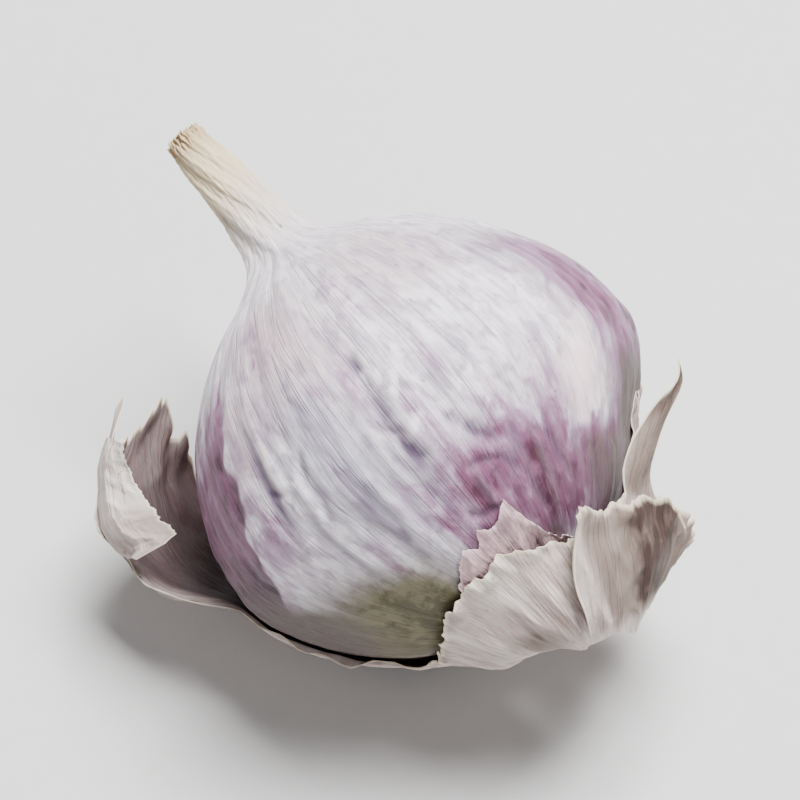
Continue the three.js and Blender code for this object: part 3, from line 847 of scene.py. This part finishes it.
def make_flap():
    """The second layer over the skirt. It lies a little outside the skirt, its near edge leans
    over the hem and curls up, and its top is torn like the skirt's."""
    turn, reach = along_edge(FLAP_EDGE, FLAP_COLUMNS, closed=False)
    jag = summed(fibre_steps, turn, (0.9, 4.3, 91), (0.35, 1.3, 92))
    share = np.linspace(0, 1, FLAP_ROWS)[:, None]
    foot = np.interp(turn, FLAP_HEM[:, 0], FLAP_HEM[:, 1]) + 0.4 * fibre_steps(turn, 1.7, 96)
    polar = foot + (reach + jag - foot) * share
    turn = turn + 0 * polar
    near_edge = fall(turn, FLAP_TURN - 0.5, FLAP_TURN + 7)
    far_edge = rise(turn, 46, 56)
    lean = (flap_edge_turn(polar) - FLAP_TURN) * fall(turn, FLAP_TURN, 34)
    side = turn - 1.3 * near_edge * np.sin(polar * 0.25) + lean
    way = fibre_place(polar * HUSK_FIBRE_STEP + 3.0, turn)
    creases = 0.20 * crumple(way * (1.0, 1.0, 0.6), 3.6, 93)
    creases = creases + 0.09 * crumple(way, 1.5, 94)
    top = rise(share, 0.75, 1.0)
    curl = 0.18 * near_edge**2 + 0.2 * top * (0.6 + soft_noise(way, 1.7, 95))
    surface = body_reach(polar) + HUSK_FREE_GAP + stand_off(polar, side)
    inner_reach = surface + 0.3 + 0.7 * np.maximum(creases, -0.1) + curl - 0.25 * far_edge
    faces = both_faces(inner_reach, FLAP_THICKNESS, polar, side)
    brown = 0.46 * rise(side, -5, 3) + 0.44 * rise(side, 12, 24)
    brown = brown - 0.12 * rise(polar, 30, 36) * bump(side, 14, 10)
    brown = (brown - 0.3 * rise(side, 38, 55)) * (1 - near_edge) * rise(polar, 15, 21)
    # Partly paler husk, partly painted highlight on the curled near edge and the hem.
    pale = 0.75 * near_edge + 0.8 * fall(polar, 14, 19)
    edge_share = np.maximum(share, 1 - (turn - FLAP_TURN) / 12.0)
    return sheet_piece("husk_flap", faces, way, edge_share, pale, brown, 1.0)


def make_lobe_fold():
    """The peeled lobe's near edge, which is folded in as a pale leaf. It runs from the lobe's
    outer line towards the bulb by the width of LOBE_FOLD, bellied towards the open side."""
    rows, columns = 90, 34
    place = np.linspace(0, 1, rows)
    knots = np.linspace(0, 1, len(LOBE_FOLD))
    polar, outer_line, width = (np.interp(place, knots, LOBE_FOLD[:, i])[:, None] for i in range(3))
    across = np.linspace(0, 1, columns)[None, :]
    jag = 1 + summed(fibre_steps, polar * 3.0, (0.05, 2.6, 71), (0.03, 0.9, 72))
    distance = outer_line - width * jag * across**1.2
    belly = 1.3 * np.sin(across * math.pi) * (width / 2.6)
    side = LOBE_FOLD_TURN + 3.6 * across**0.5 + 3.4 * across + belly
    way = fibre_place(polar * 0.2, side * 3.0)
    ripple = summed(crumple, way, (1.0, 2.9, 73), (0.3, 1.3, 74))
    side = side + ripple * rise(across, 0.05, 0.4)
    tilt = polar + 0.4 * np.sin(across * 3.0) - 2.2 * across * rise(polar, 121, 129)
    tilt = tilt - 2.1 * across * fall(polar, 105, 111)
    near = round_heart(distance, tilt, side + LOBE_FOLD_THICKNESS)
    far = round_heart(distance, tilt, side)
    edge = across + 0 * polar
    # Painted light and shade: paler towards the fold's top end, browner towards its low end.
    pale = 0.05 + 0.5 * rise(polar, 108, 117)
    brown = 0.2 * fall(polar, 109, 115)
    near, far, way, edge = (grid[:, ::-1] for grid in (near, far, way, edge))
    return sheet_piece("lobe_fold", (near, far), way, edge, pale, brown, 0.0)


def make_scrap(name, edge, foot, columns, rows, lift, brown, seed):
    """A small sheet that hugs the skin between the bulb and the husk, torn at its top."""
    turn, reach = along_edge(edge, columns, closed=False)
    jag = summed(fibre_steps, turn, (1.1, 1.9, seed), (0.5, 0.7, seed + 1))
    share = np.linspace(0, 1, rows)[:, None]
    polar = foot + (reach + jag - foot) * share
    turn = np.broadcast_to(turn, polar.shape)
    way = fibre_place(polar * HUSK_FIBRE_STEP, turn)
    roughness = 0.03 * soft_noise(way, 0.7, seed + 2) + 0.04 * crumple(way, 1.6, seed + 3)
    lifted_edge = rise(share, 0.6, 1.0) * (0.7 + soft_noise(way, 1.2, seed + 4))
    raised = roughness + lift * np.maximum(lifted_edge, 0)
    faces = both_faces(skin_reach(polar, turn) + SCRAP_GAP + raised, SCRAP_THICKNESS, polar, turn)
    return sheet_piece(name, faces, way, share, 0.15, brown, 0.0)


# ---- Root plate and roots ----

PLATE_GAP = 0.32
PLATE_THICKNESS = 0.65
PLATE_ROWS = 66
PLATE_COLUMNS = 160
ROOT_COUNT = 96
ROOT_SIDES = 7
ROOT_STEPS = 16


def make_root_plate():
    """A lumpy button turned round the axis, with a dished and cracked middle."""
    bottom = -PLATE_GAP - 0.75 * PLATE_THICKNESS
    section = np.array([
        (bottom + 0.44, 0.05), (bottom + 0.40, 0.3), (bottom + 0.26, 0.6), (bottom + 0.06, 0.95),
        (bottom, 1.25), (bottom + 0.04, 1.6), (bottom + 0.16, 1.9), (bottom + 0.36, 2.08),
        (-PLATE_GAP - 0.1, 2.06), (-PLATE_GAP, 1.9), (-PLATE_GAP + 0.1, 1.2),
    ])
    place = np.linspace(0, len(section) - 1, PLATE_ROWS)
    knots = np.arange(len(section))
    along, radius = (np.interp(place, knots, section[:, i])[:, None] for i in range(2))
    turn = np.linspace(0, 360, PLATE_COLUMNS, endpoint=False)[None, :]
    rough = round_axis(along, radius, turn)
    lumps = 1 + 0.05 * np.cos(np.radians(5 * turn + 40))
    warts = 0.07 * soft_noise(rough, 0.5, 51) + 0.04 * crumple(rough, 0.9, 52)
    underside = fall(along, bottom + 0.3, -PLATE_GAP)
    points = round_axis(along - warts * underside, radius * lumps + 0.5 * warts, turn)
    ends = round_axis([bottom + 0.45, -PLATE_GAP + 0.1], 0.0, 0.0)
    return add_turned_piece("root_plate_disc", points, ends)


def make_roots():
    """Dry roots as tapered tubes. Each middle line leaves the plate, bends outwards with the
    share to the power 1.5 and curls sideways by a slow sine; its section is a small polygon."""
    draw = np.random.default_rng(61)
    index = np.arange(ROOT_COUNT)
    turn = (index * 137.5 + draw.uniform(-8, 8, ROOT_COUNT)) % 360
    foot = 0.75 + 1.15 * ((index + 0.5) / ROOT_COUNT) ** 0.6
    length = draw.uniform(0.35, 0.72, ROOT_COUNT)
    spread = draw.uniform(0.05, 0.35, ROOT_COUNT) * (foot / 1.9)
    curl = draw.uniform(-30, 30, ROOT_COUNT)
    wave = draw.uniform(0, 2 * math.pi, ROOT_COUNT)
    thickness = draw.uniform(0.1, 0.19, ROOT_COUNT)

    share = np.linspace(0, 1, ROOT_STEPS)[:, None]
    start = -PLATE_GAP - 0.45 * PLATE_THICKNESS
    along = start - length * share * (1 - 0.3 * share)
    away = foot + spread * share**1.5 + 0.06 * np.sin(4 * share * math.pi + wave)
    middle = round_axis(along, away, turn + curl * share**2)
    forwards = np.gradient(middle, axis=0)
    forwards /= np.linalg.norm(forwards, axis=-1, keepdims=True)
    across = np.cross(forwards, TOWARDS_SIDE + 0.3 * TOWARDS_TOP)
    across /= np.linalg.norm(across, axis=-1, keepdims=True)
    upright = np.cross(forwards, across)
    taper = thickness * (1 - 0.62 * share**1.3) * (1 + 0.12 * np.sin(9 * share * math.pi + wave))
    angle = np.linspace(0, 2 * math.pi, ROOT_SIDES, endpoint=False)[:, None]
    ring = np.cos(angle) * across[..., None, :] + np.sin(angle) * upright[..., None, :]
    tubes = middle[..., None, :] + taper[..., None, None] * ring
    tubes = tubes.transpose(1, 0, 2, 3)
    size = ROOT_STEPS * ROOT_SIDES
    tips = middle[-1] + 0.04 * forwards[-1]
    vertices = np.concatenate([tubes.reshape(-1, 3), middle[0], tips])
    one = grid_quads(ROOT_STEPS, ROOT_SIDES, inwards=True)
    quads = (one[None] + (index * size)[:, None, None]).reshape(-1, 4)
    ring_numbers = np.arange(ROOT_SIDES)
    foot_fans = [fan(ring_numbers + n * size, ROOT_COUNT * size + n) for n in index]
    tip_start = ROOT_SIDES * (ROOT_STEPS - 1)
    tip_fans = [
        fan(ring_numbers + n * size + tip_start, ROOT_COUNT * (size + 1) + n, inwards=True)
        for n in index
    ]
    return add_piece("dry_roots", vertices, quads, np.concatenate(foot_fans + tip_fans))


# ---- Materials ----


def colour(red, green, blue):
    """A linear colour from the usual 0 to 255 screen values."""
    values = np.array([red, green, blue]) / 255
    linear = np.where(values <= 0.04045, values / 12.92, ((values + 0.055) / 1.055) ** 2.4)
    return (*linear, 1.0)


def fill_inputs(tree, made, inputs):
    """Sets a node's inputs to values, or links them to sockets of other nodes."""
    for socket, value in inputs.items():
        if isinstance(value, bpy.types.NodeSocket):
            tree.links.new(value, made.inputs[socket])
        else:
            made.inputs[socket].default_value = value
    return made


def node(tree, kind, inputs=None, **settings):
    """A node with its settings and its inputs."""
    made = tree.nodes.new(kind)
    for name, value in settings.items():
        setattr(made, name, value)
    return fill_inputs(tree, made, inputs or {})


def maths(tree, operation, one, other=0.0, third=0.0, limit=False):
    """A sum, product and the like, held between 0 and 1 if limited."""
    return node(tree, "ShaderNodeMath", {0: one, 1: other, 2: third}, operation=operation,
                use_clamp=limit).outputs[0]


def times(tree, one, other):
    """A product that stays between 0 and 1."""
    return maths(tree, "MULTIPLY", one, other, limit=True)


def weighted(tree, value, weight, more):
    """The value times a weight, plus something more."""
    return maths(tree, "MULTIPLY_ADD", value, weight, more)


def mixed(tree, share, one, other):
    """One colour turning into the other, by a share."""
    made = node(tree, "ShaderNodeMix", {0: share, 6: one, 7: other}, data_type="RGBA")
    return made.outputs[2]


def ramped(tree, value, low, high, to_low=0.0, to_high=1.0):
    """A smooth step of the value between low and high."""
    return node(tree, "ShaderNodeMapRange", {0: value, 1: low, 2: high, 3: to_low, 4: to_high},
                interpolation_type="SMOOTHSTEP").outputs[0]


def attribute(tree, name, output="Fac"):
    return node(tree, "ShaderNodeAttribute", attribute_name=name).outputs[output]


def noise(tree, place, scale, detail=3.0, roughness=0.55, distortion=0.0):
    return node(tree, "ShaderNodeTexNoise",
                {"Vector": place, "Scale": scale, "Detail": detail, "Roughness": roughness,
                 "Distortion": distortion}).outputs["Fac"]


def scaled(tree, vector, amounts):
    return node(tree, "ShaderNodeVectorMath", {0: vector, 1: amounts},
                operation="MULTIPLY").outputs[0]


def new_group(name, inputs, outputs):
    """An empty shader node group with named sockets, and its two end nodes."""
    group = bpy.data.node_groups.new(name, "ShaderNodeTree")
    for label, kind in inputs.items():
        group.interface.new_socket(label, in_out="INPUT", socket_type=kind)
    for label, kind in outputs.items():
        group.interface.new_socket(label, in_out="OUTPUT", socket_type=kind)
    return group, group.nodes.new("NodeGroupInput"), group.nodes.new("NodeGroupOutput")


FIBRE_PATTERNS = ("Fibre", "Streak", "Mottle", "Line", "Blotch")


def make_fibre_group():
    """Patterns that follow the fibres of the skin, from the place on it in millimetres: fine
    fibres, broad streaks, short mottles, thin dark lines and blotches. Each is a noise squeezed
    along the fibre, with a scale, a detail, a roughness and, for two, a distortion."""
    group, given, result = new_group(
        "skin_fibres",
        {"Place": "NodeSocketVector"},
        dict.fromkeys(FIBRE_PATTERNS, "NodeSocketFloat"),
    )
    patterns = {}
    for label, (squeeze, *settings) in zip(FIBRE_PATTERNS, (
        (0.10, 4.6, 3.0, 0.6),
        (0.14, 1.5, 3.0, 0.6),
        (0.62, 1.6, 2.5, 0.5, 0.5),
        (0.05, 2.2, 1.0, 0.5),
        (0.6, 1.1, 4.0, 0.62, 0.5),
    )):
        place = scaled(group, given.outputs["Place"], (1.0, 1.0, squeeze))
        patterns[label] = noise(group, place, *settings)
    from_middle = maths(group, "ABSOLUTE", maths(group, "SUBTRACT", patterns["Line"], 0.5))
    patterns["Line"] = ramped(group, from_middle, 0.03, 0.0)
    fill_inputs(group, result, patterns)
    return group


def make_stain_group():
    """Dry brown specks and blotches, from the object's own coordinates in metres."""
    group, given, result = new_group(
        "dry_stains",
        {"Place": "NodeSocketVector", "Amount": "NodeSocketFloat"},
        {"Speck": "NodeSocketFloat", "Stain": "NodeSocketFloat"},
    )
    place = given.outputs["Place"]
    speck_noise = noise(group, place, 2300.0, 2.0, 0.5)
    low = weighted(group, given.outputs["Amount"], -0.08, 0.76)
    speck = maths(group, "MULTIPLY", maths(group, "SUBTRACT", speck_noise, low), 14.0, limit=True)
    stain = ramped(group, noise(group, place, 620.0, 5.0, 0.68, 0.4), 0.42, 0.66)
    stain = times(group, stain, given.outputs["Amount"])
    fill_inputs(group, result, {"Speck": speck, "Stain": stain})
    return group


FIBRES = make_fibre_group()
STAINS = make_stain_group()


def grouped(tree, group, inputs):
    made = node(tree, "ShaderNodeGroup", node_tree=group)
    return fill_inputs(tree, made, inputs).outputs


def fibre_patterns(tree):
    """The five patterns of the fibre group, on a sheet's own fibre_place."""
    made = grouped(tree, FIBRES, {"Place": attribute(tree, "fibre_place", "Vector")})
    return (made[label] for label in FIBRE_PATTERNS)


def new_material(name, **surface):
    """A material with a Principled shader whose uniform numbers are set on its own sockets."""
    material = bpy.data.materials.new(name)
    material.use_nodes = True
    tree = material.node_tree
    shader = tree.nodes["Principled BSDF"]
    for socket, value in surface.items():
        shader.inputs[socket.replace("_", " ")].default_value = value
    return material, tree, shader


def object_place(tree):
    return node(tree, "ShaderNodeTexCoord").outputs["Object"]


def bumped(tree, height, strength, distance):
    return node(tree, "ShaderNodeBump",
                {"Height": height, "Strength": strength, "Distance": distance}).outputs["Normal"]


def layered(tree, base, layers):
    """Lays colours over a base one after another. A layer is a mask, or the name of one on the
    mesh, then the share of it that shows and a screen colour."""
    for mask, share, tint in layers:
        if isinstance(mask, str):
            mask = attribute(tree, mask)
        base = mixed(tree, times(tree, mask, share), base, colour(*tint))
    return base


def skin_material():
    """White satin skin: cool and warm tints, purple that breaks up along the fibres, dark slits
    whose darkness is partly painted shade, painted shade low down and at the lower right, a painted
    highlight spot, a dry cream neck, and a little soil at the root end."""
    material, tree, shader = new_material(
        "papery_skin", Subsurface_Weight=0.08, Subsurface_Scale=0.0006,
        Subsurface_Radius=(1.0, 0.7, 0.6), Specular_IOR_Level=0.22)
    fibre, streak, mottle, line, blotch = fibre_patterns(tree)
    stains = grouped(tree, STAINS, {"Place": object_place(tree), "Amount": 0.6})
    neck = attribute(tree, "neck")
    on_bulb = ramped(tree, neck, 0.72, 0.58)
    base = mixed(tree, ramped(tree, blotch, 0.38, 0.64), colour(238, 231, 238),
                 colour(204, 194, 206))
    base = layered(tree, base, [
        ("warm", 0.7, (196, 172, 176)),
        ("blue", 0.62, (158, 158, 172)),
        (times(tree, ramped(tree, streak, 0.48, 0.64), on_bulb), 0.45, (150, 136, 156)),
        (times(tree, ramped(tree, mottle, 0.47, 0.70), on_bulb), 0.6, (146, 130, 154)),
        # Painted highlight: the lightest spot, cream-pink.
        ("cream", 0.8, (250, 222, 224)),
        (ramped(tree, fibre, 0.52, 0.72), 0.34, (244, 242, 246)),
        (times(tree, line, on_bulb), 0.16, (126, 114, 136)),
        # Mauve under the white, deepened on the lower right edge as painted shade.
        ("flush_and_shade", weighted(tree, mottle, 1.0, 0.5), (92, 64, 82)),
    ])

    mask = attribute(tree, "purple")
    broken = weighted(tree, streak, 0.24, -0.12)
    for pattern, weight in ((mottle, 1.1), (blotch, 1.3), (fibre, 0.16)):
        broken = weighted(tree, pattern, weight, maths(tree, "ADD", broken, -weight / 2))
    amount = weighted(tree, broken, ramped(tree, mask, 0.02, 0.35), mask)
    dry = ramped(tree, neck, 0.69, 0.93)
    patchy = weighted(tree, stains["Stain"], 1.2, 0.2)
    base = layered(tree, base, [
        (ramped(tree, amount, 0.0, 0.7), 0.9, (160, 124, 156)),
        (ramped(tree, amount, 0.4, 1.1), 0.92, (112, 64, 94)),
        (ramped(tree, amount, 1.1, 1.6), 0.85, (58, 26, 40)),
        ("vein", 0.12, (244, 240, 246)),
        # Slits and pucker folds: their darkness is partly painted shade in the grooves.
        ("slit", 0.76, (98, 82, 104)),
        (dry, 0.9, (234, 213, 172)),
        (times(tree, dry, ramped(tree, streak, 0.45, 0.7)), 0.2, (186, 156, 118)),
        (ramped(tree, neck, 0.93, 1.0), 0.5, (164, 128, 84)),
        (times(tree, attribute(tree, "rust"), ramped(tree, blotch, 0.5, 0.64)), 0.6, (132, 92, 84)),
        # Painted shade where the bulb lies in shadow.
        ("shade", 0.8, (88, 78, 76)),
        ("soil", 0.8, (116, 110, 84)),
        (times(tree, attribute(tree, "soil"), patchy), 0.85, (64, 58, 38)),
        (stains["Speck"], 0.6, (112, 86, 82)),
    ])
    height = weighted(tree, streak, 0.6, weighted(tree, line, -0.35, fibre))
    fill_inputs(tree, shader, {
        "Base Color": base,
        "Roughness": weighted(tree, fibre, 0.25, 0.34),
        "Normal": bumped(tree, height, 0.7, 0.00009),
    })
    return material


def husk_material(name, outer, inner, stain, rim):
    """Dry thin husk: mottled, veined, darker inside, partly as painted shade, stained in blotches,
    pale at its torn edge, and pale in places as painted highlight."""
    material, tree, shader = new_material(
        name, Subsurface_Weight=0.12, Subsurface_Scale=0.0004,
        Subsurface_Radius=(1.0, 0.8, 0.65), Specular_IOR_Level=0.25)
    fibre, streak, mottle, line, blotch = fibre_patterns(tree)
    stains = grouped(tree, STAINS, {"Place": object_place(tree), "Amount": 0.8})
    base = mixed(tree, ramped(tree, blotch, 0.38, 0.62), colour(*outer), colour(*stain))
    base = layered(tree, base, [
        (ramped(tree, fibre, 0.5, 0.7), 0.28, (228, 218, 206)),
        (ramped(tree, mottle, 0.46, 0.66), 0.32, (136, 114, 108)),
        (ramped(tree, streak, 0.5, 0.7), 0.2, (134, 112, 108)),
        (line, 0.18, (126, 104, 100)),
        (stains["Stain"], 0.35, (150, 128, 106)),
    ])
    # Darker brown in two steps where the brown attribute is set.
    brown_amount = times(tree, attribute(tree, "brown"), weighted(tree, mottle, 0.8, 0.6))
    base = mixed(tree, ramped(tree, brown_amount, 0.0, 0.5), base, colour(128, 113, 104))
    base = mixed(tree, ramped(tree, brown_amount, 0.5, 1.0), base, colour(64, 48, 44))
    base = layered(tree, base, [
        # The pale layer is partly painted highlight, the inner colour partly painted shade.
        ("pale", 0.8, (220, 212, 203)),
        ("inside", 0.92, inner),
        (ramped(tree, attribute(tree, "edge_share"), 0.94, 1.0), 0.75, rim),
        (stains["Speck"], 0.6, (104, 78, 64)),
    ])
    height = weighted(tree, blotch, 1.2, weighted(tree, line, -0.4, fibre))
    fill_inputs(tree, shader, {
        "Base Color": base,
        "Roughness": weighted(tree, fibre, 0.25, 0.45),
        "Normal": bumped(tree, height, 0.8, 0.0001),
    })
    return material


def root_material(name, pale, dark, grain):
    """Rough straw brown with fine grain and blotches of dark soil."""
    material, tree, shader = new_material(name, Specular_IOR_Level=0.25)
    place = object_place(tree)
    stains = grouped(tree, STAINS, {"Place": place, "Amount": 1.0})
    fine = noise(tree, place, grain, 6.0, 0.65)
    base = mixed(tree, ramped(tree, fine, 0.35, 0.7), colour(*pale), colour(*dark))
    fill_inputs(tree, shader, {
        "Base Color": layered(tree, base, [(stains["Stain"], 0.6, (84, 60, 38))]),
        "Roughness": ramped(tree, fine, 0.2, 0.8, 0.7, 0.95),
        "Normal": bumped(tree, fine, 0.8, 0.00012),
    })
    return material


# ---- The pieces on their frame ----


def dress(piece, material, node_name):
    """Gives a piece its material, lets it ride on the root body and stand for its CAD node."""
    piece.data.materials.append(material)
    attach(piece, "root")
    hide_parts(node_name)


# The dark plum-brown inner colour is partly the inner skin's purple, partly painted shade.
husk_paper = husk_material(
    "dry_husk", outer=(204, 191, 186), inner=(54, 37, 43), stain=(174, 153, 150),
    rim=(236, 222, 196))
scrap_paper = husk_material(
    "pinkish_scrap", outer=(220, 174, 186), inner=(150, 120, 128), stain=(168, 126, 142),
    rim=(218, 190, 194))
plate_crust = root_material("root_plate_crust", (176, 146, 102), (112, 84, 52), grain=1500.0)
root_fibre = root_material("dry_root_fibre", (186, 160, 116), (128, 98, 62), grain=3000.0)

dress(make_bulb(), skin_material(), "bulb")
dress(make_husk(), husk_paper, "torn_husk")
dress(make_flap(), husk_paper, "torn_husk")
dress(make_lobe_fold(), husk_paper, "torn_husk")
dress(
    make_scrap("inner_skin_scrap", SCRAP_EDGE, foot=26, columns=150, rows=46, lift=0.12,
               brown=0.0, seed=41),
    scrap_paper, "torn_husk")
dress(
    make_scrap("side_skin_scrap", SIDE_SCRAP_EDGE, foot=28, columns=120, rows=60, lift=0.07,
               brown=0.42, seed=81),
    scrap_paper, "torn_husk")
dress(make_root_plate(), plate_crust, "root_plate")
dress(make_roots(), root_fibre, "root_plate")

# ---- Floor, light and camera ----

CAMERA_AZIMUTH = math.radians(50)
CAMERA_ELEVATION = math.radians(55)
LENS = 180.0
SENSOR = 36.0
SEEN_WIDTH = 0.0355                # width of the picture at the bulb, in metres
AIM = Vector((-0.0016, 0.0009, 0.0099))
FLOOR_REACH = 600.0
FLOOR_STEPS = 24
SKY_TINT = (0.95, 0.97, 1.0, 1.0)
SKY_STRENGTH = 0.22


def look_from(azimuth, elevation):
    """Unit vector from the bulb towards a place seen at that azimuth and elevation."""
    flat = math.cos(elevation)
    return Vector((math.sin(azimuth) * flat, -math.cos(azimuth) * flat, math.sin(elevation)))


def looking_back(name, data, away, distance):
    """A camera or lamp that stands off from AIM in a direction and faces it."""
    made = in_scene(name, data)
    made.location = AIM + away * distance
    made.rotation_euler = away.to_track_quat("Z", "Y").to_euler()
    return made


def make_floor():
    """A pale sheet of card under the bulb: a flat grid with a faint tooth."""
    across = np.linspace(-FLOOR_REACH, FLOOR_REACH, FLOOR_STEPS)
    x, y = np.meshgrid(across, across)
    points = np.stack([x, y, np.zeros_like(x)], -1).reshape(-1, 3)
    floor = add_piece("pale_floor", points, grid_quads(FLOOR_STEPS, FLOOR_STEPS, closed=False))
    material, tree, shader = new_material("pale_card", Specular_IOR_Level=0.2, Roughness=0.8)
    tooth = noise(tree, object_place(tree), 900.0, 3.0, 0.5)
    tint = mixed(tree, tooth, colour(206, 205, 204), colour(212, 211, 210))
    fill_inputs(tree, shader, {"Base Color": tint})
    floor.data.materials.append(material)


def add_soft_light(name, azimuth, elevation, distance, size, power):
    """A square area light that faces the bulb."""
    lamp = bpy.data.lights.new(name, "AREA")
    lamp.size = size
    lamp.energy = power
    away = look_from(math.radians(azimuth), math.radians(elevation))
    looking_back(name, lamp, away, distance)


def make_camera():
    """A long lens from above and one side, far enough off for SEEN_WIDTH to fill the picture."""
    lens = bpy.data.cameras.new("camera")
    lens.lens = LENS
    lens.sensor_width = SENSOR
    lens.clip_start = 0.01
    lens.clip_end = 10.0
    away = look_from(CAMERA_AZIMUTH, CAMERA_ELEVATION)
    bpy.context.scene.camera = looking_back("camera", lens, away, SEEN_WIDTH * LENS / SENSOR)


def make_daylight():
    """A weak even light from all round."""
    world = bpy.data.worlds.new("daylight")
    world.use_nodes = True
    sky = world.node_tree.nodes["Background"]
    sky.inputs["Color"].default_value = SKY_TINT
    sky.inputs["Strength"].default_value = SKY_STRENGTH
    bpy.context.scene.world = world


make_floor()
make_daylight()
add_soft_light("overhead", azimuth=185.0, elevation=74.0, distance=0.30, size=0.16, power=3.4)
add_soft_light("side_fill", azimuth=80.0, elevation=25.0, distance=0.35, size=0.25, power=0.35)
make_camera()
